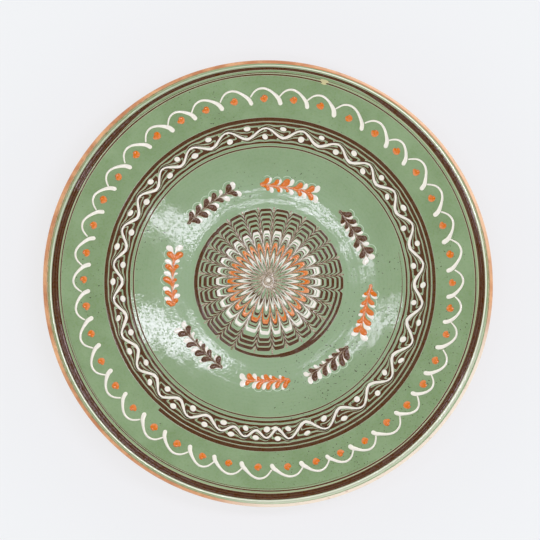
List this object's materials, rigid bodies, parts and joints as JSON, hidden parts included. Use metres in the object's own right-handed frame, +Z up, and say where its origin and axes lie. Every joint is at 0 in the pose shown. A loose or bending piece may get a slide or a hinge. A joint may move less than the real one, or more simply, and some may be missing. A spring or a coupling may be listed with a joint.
{
  "type": "slip-trailed ceramic plate",
  "caption": "Round glazed pottery plate with a deep well, a wide sloping brim and a foot ring, its face covered with trailed and combed slip decoration.",
  "frame": {"origin": "on the table under the middle of the foot ring", "axes": "+Z up out of the well along the axis of the wheel, +Y towards the top of the decoration as it is seen from above, +X to its right"},
  "size_m": [0.3, 0.3, 0.0407],
  "materials": {
    "red_clay": "matt fired red clay, thin clear glaze on the lip",
    "green_slip": "gloss sage green slip under clear glaze",
    "cream_slip": "gloss cream slip under clear glaze",
    "brown_slip": "gloss dark brown slip under clear glaze",
    "orange_slip": "gloss orange slip under clear glaze"
  },
  "bodies": {
    "root": {"brim_band_inner_turn": "brown_slip", "brim_band_middle_turn": "brown_slip", "brim_band_outer_turn": "brown_slip", "brim_fine_line": "brown_slip", "clay_body": "red_clay", "green_slip_coat": "green_slip", "rosette_brown_ring_1": "brown_slip", "rosette_brown_ring_2": "brown_slip", "rosette_brown_ring_3": "brown_slip", "rosette_brown_ring_4": "brown_slip", "rosette_brown_ring_5": "brown_slip", "rosette_brown_ring_6": "brown_slip", "rosette_brown_ring_7": "brown_slip", "rosette_brown_ring_8": "brown_slip", "rosette_brown_ring_9": "brown_slip", "rosette_centre_dot_cream": "cream_slip", "rosette_cream_ring_inner": "cream_slip", "rosette_cream_ring_outer": "cream_slip", "rosette_orange_ring": "orange_slip", "rosette_swirl_brown": "brown_slip", "scallop_dots_orange": "orange_slip", "scallop_strokes_cream": "cream_slip", "sprig_1_dabs_cream": "cream_slip", "sprig_1_leaves_brown": "brown_slip", "sprig_2_dabs_cream": "cream_slip", "sprig_2_leaves_orange": "orange_slip", "sprig_3_dabs_cream": "cream_slip", "sprig_3_leaves_brown": "brown_slip", "sprig_4_dabs_cream": "cream_slip", "sprig_4_leaves_orange": "orange_slip", "sprig_5_dabs_cream": "cream_slip", "sprig_5_leaves_brown": "brown_slip", "sprig_6_dabs_cream": "cream_slip", "sprig_6_leaves_orange": "orange_slip", "sprig_7_dabs_cream": "cream_slip", "sprig_7_leaves_brown": "brown_slip", "sprig_8_dabs_cream": "cream_slip", "sprig_8_leaves_orange": "orange_slip", "wave_border_fine_line": "brown_slip", "wave_border_inner_turn": "brown_slip", "wave_border_outer_turn": "brown_slip", "wave_border_second_turn": "brown_slip", "wave_dots_inner_cream": "cream_slip", "wave_dots_outer_cream": "cream_slip", "wave_inner_shadow_brown": "brown_slip", "wave_outer_shadow_brown": "brown_slip", "wave_stroke_cream": "cream_slip"}
  },
  "joints": []
}
